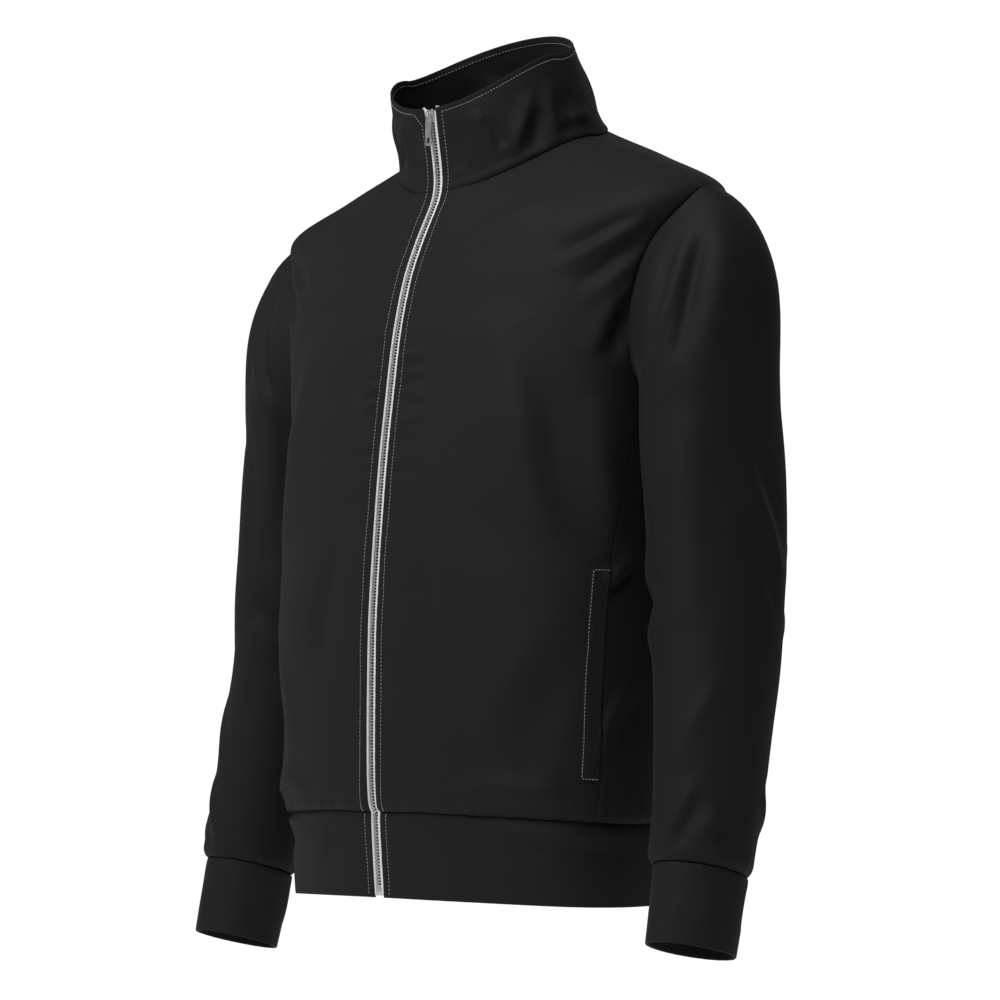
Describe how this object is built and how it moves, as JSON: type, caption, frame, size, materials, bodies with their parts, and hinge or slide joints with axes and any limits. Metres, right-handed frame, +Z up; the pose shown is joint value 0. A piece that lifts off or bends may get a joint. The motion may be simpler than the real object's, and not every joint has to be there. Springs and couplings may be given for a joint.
{
  "type": "track jacket",
  "caption": "Long-sleeved full-zip track jacket with a stand collar, waistband and cuffs, filled out as if worn, with a hinged zip pull tab.",
  "frame": {"origin": "base of the wearer's neck, midway between the shoulders, where the wearer's body holds the jacket", "axes": "+Z up along the body, -Y the way the wearer faces, +X the wearer's left"},
  "size_m": [0.6098, 0.2655, 0.8145],
  "materials": {
    "shell_knit": "smooth black technical knit with a low sheen",
    "zip_tape": "white woven tape",
    "zip_metal": "silver-grey metal",
    "topstitch_thread": "white sewing thread"
  },
  "bodies": {
    "jacket": {"front_left": "shell_knit", "front_right": "shell_knit", "back": "shell_knit", "collar": "shell_knit", "waistband": "shell_knit", "sleeve_left": "shell_knit", "sleeve_right": "shell_knit", "cuff_left": "shell_knit", "cuff_right": "shell_knit", "pocket_welt_left": "shell_knit", "pocket_welt_right": "shell_knit", "zip_tape_left": "zip_tape", "zip_tape_right": "zip_tape", "zip_chain": "zip_metal", "zip_box": "zip_metal", "slider": "zip_metal"},
    "pull_tab": {"pull_tab": "zip_metal"}
  },
  "joints": [
    {"name": "pull_tab_swing", "type": "hinge", "parent": "jacket", "child": "pull_tab", "pos_m": [0, -0.0661, 0.02951], "axis": [-1, 0, 0], "range_deg": [0, 160]}
  ]
}
